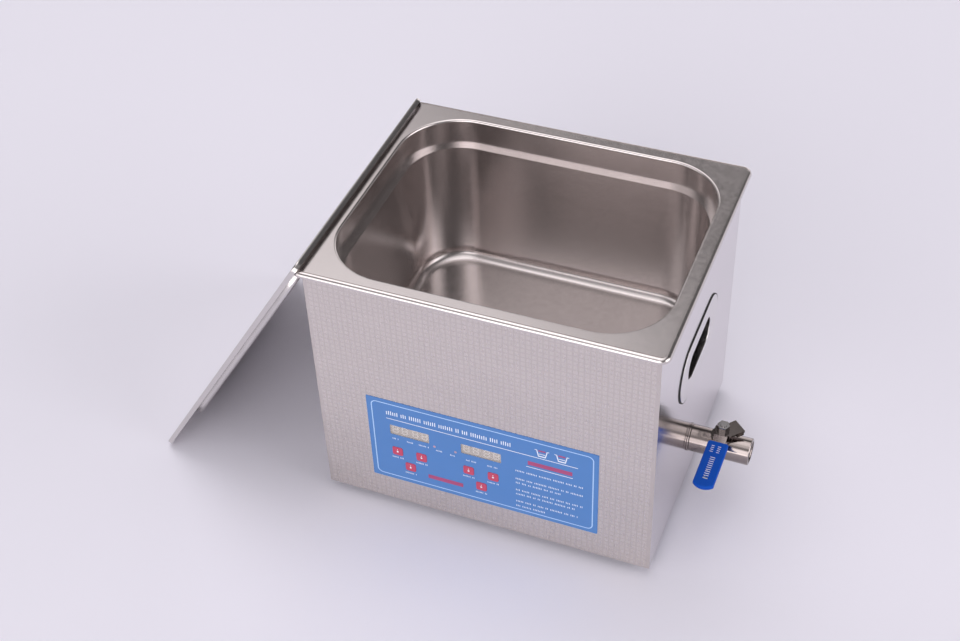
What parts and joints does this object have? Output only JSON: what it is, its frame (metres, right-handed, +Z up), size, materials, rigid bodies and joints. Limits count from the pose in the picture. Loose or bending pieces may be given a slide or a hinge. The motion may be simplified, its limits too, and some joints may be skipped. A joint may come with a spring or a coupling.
{
  "type": "ultrasonic cleaner",
  "caption": "Bench-top ultrasonic cleaner: drawn steel tank in a sheet casing, keypad with displays, side grips, ball-valve drain and a loose lid leaning on the rim.",
  "frame": {"origin": "centre of the casing's footprint, on the plane under the feet", "axes": "+X towards the drain valve, -Y towards the operator and the control panel, +Z up"},
  "size_m": [0.5429, 0.2665, 0.2768],
  "materials": {
    "tank_steel": "satin drawn stainless",
    "embossed_steel": "stainless embossed with a fine square grid",
    "side_steel": "satin stainless sheet",
    "lid_steel": "satin stainless",
    "handle_steel": "pressed stainless",
    "valve_steel": "turned and polished stainless",
    "zinc_steel": "zinc plated",
    "rubber": "matt",
    "hose_rubber": "silicone",
    "sleeve_blue": "dip-moulded vinyl",
    "label_blue": "printed film",
    "key_red": "domed film key",
    "window": "clear tinted film",
    "display_face": "moulded display block",
    "lamp_red": "diffused lamp, unlit",
    "board_green": "circuit board",
    "board_brass": "turned brass",
    "ptfe": "moulded seal",
    "aluminium_raw": "machined",
    "ceramic_buff": "fired piezo ceramic",
    "copper_tab": "stamped copper alloy",
    "stack_steel": "turned steel",
    "heater_foil": "foil-faced pad",
    "sensor_grey": "moulded",
    "black_plastic": "moulded",
    "wire_red": "insulation",
    "wire_grey": "ribbon insulation",
    "wire_brown": "insulation",
    "sink_black": "anodised"
  },
  "bodies": {
    "casing": {"tank": "tank_steel", "front_panel": "embossed_steel", "rear_panel": "side_steel", "left_side_panel": "side_steel", "right_side_panel": "side_steel", "left_handle": "handle_steel", "right_handle": "handle_steel", "corner_angles": "zinc_steel", "base_plate": "zinc_steel", "feet": "rubber", "case_fasteners": "zinc_steel", "drain_spud": "valve_steel", "drain_gasket": "rubber", "pipe_fixings": "valve_steel", "drain_hose": "hose_rubber", "hose_clamps": "zinc_steel", "outlet_pipe": "valve_steel", "valve_body": "valve_steel", "valve_insert": "valve_steel", "valve_seals": "ptfe", "gland_nut": "valve_steel", "control_label": "label_blue", "display_windows": "window", "display_modules": "display_face", "control_board": "board_green", "indicator_lamps": "lamp_red", "transducer_front_masses": "aluminium_raw", "transducer_piezo_rings": "ceramic_buff", "transducer_electrodes": "copper_tab", "transducer_back_masses": "stack_steel", "transducer_bolts": "zinc_steel", "heater_pad": "heater_foil", "thermal_sensors": "sensor_grey", "generator_board": "board_green", "heat_sink": "sink_black", "board_mounts": "board_brass", "transducer_leads": "wire_red", "ribbon_cable": "wire_grey", "mains_leads": "wire_brown", "fan_frame": "black_plastic", "fan_guard": "zinc_steel", "mains_inlet": "black_plastic", "inlet_pins": "board_brass", "fuse_holder": "black_plastic", "switch_housing": "black_plastic"},
    "lever": {"valve_ball": "valve_steel", "valve_stem": "valve_steel", "valve_lever": "valve_steel", "lever_sleeve": "sleeve_blue", "stem_nut": "valve_steel"},
    "fan": {"fan_rotor": "black_plastic"},
    "rocker": {"switch_rocker": "black_plastic"},
    "cap": {"fuse_cap": "black_plastic"},
    "cover": {"lid": "lid_steel"},
    "button_1": {"key_1": "key_red"},
    "button_2": {"key_2": "key_red"},
    "button_3": {"key_3": "key_red"},
    "button_4": {"key_4": "key_red"},
    "button_5": {"key_5": "key_red"},
    "button_6": {"key_6": "key_red"}
  },
  "joints": [
    {"name": "drain_valve_turn", "type": "hinge", "parent": "casing", "child": "lever", "pos_m": [0.1855, -0.005, 0.06], "axis": [0, 0, 1], "range_deg": [0, 90]},
    {"name": "lid_lift", "type": "slide", "parent": "casing", "child": "cover", "axis": [-0.8462, 0, 0.5329], "range_m": [0, 0.3]},
    {"name": "fan_spin", "type": "hinge", "parent": "casing", "child": "fan", "pos_m": [0.095, 0.117, 0.048], "axis": [0, 1, 0], "continuous": true},
    {"name": "power_rocker_tip", "type": "hinge", "parent": "casing", "child": "rocker", "pos_m": [-0.048, 0.124, 0.052], "axis": [-1, 0, 0], "range_deg": [0, 20]},
    {"name": "fuse_cap_turn", "type": "hinge", "parent": "casing", "child": "cap", "pos_m": [-0.078, 0.125, 0.052], "axis": [0, 1, 0], "range_deg": [-45, 0]},
    {"name": "key_1_press", "type": "slide", "parent": "casing", "child": "button_1", "axis": [0, 1, 0], "range_m": [0, 0.0005], "stiffness_N_per_m": 300},
    {"name": "key_2_press", "type": "slide", "parent": "casing", "child": "button_2", "axis": [0, 1, 0], "range_m": [0, 0.0005], "stiffness_N_per_m": 300},
    {"name": "key_3_press", "type": "slide", "parent": "casing", "child": "button_3", "axis": [0, 1, 0], "range_m": [0, 0.0005], "stiffness_N_per_m": 300},
    {"name": "key_4_press", "type": "slide", "parent": "casing", "child": "button_4", "axis": [0, 1, 0], "range_m": [0, 0.0005], "stiffness_N_per_m": 300},
    {"name": "key_5_press", "type": "slide", "parent": "casing", "child": "button_5", "axis": [0, 1, 0], "range_m": [0, 0.0005], "stiffness_N_per_m": 300},
    {"name": "key_6_press", "type": "slide", "parent": "casing", "child": "button_6", "axis": [0, 1, 0], "range_m": [0, 0.0005], "stiffness_N_per_m": 300}
  ]
}
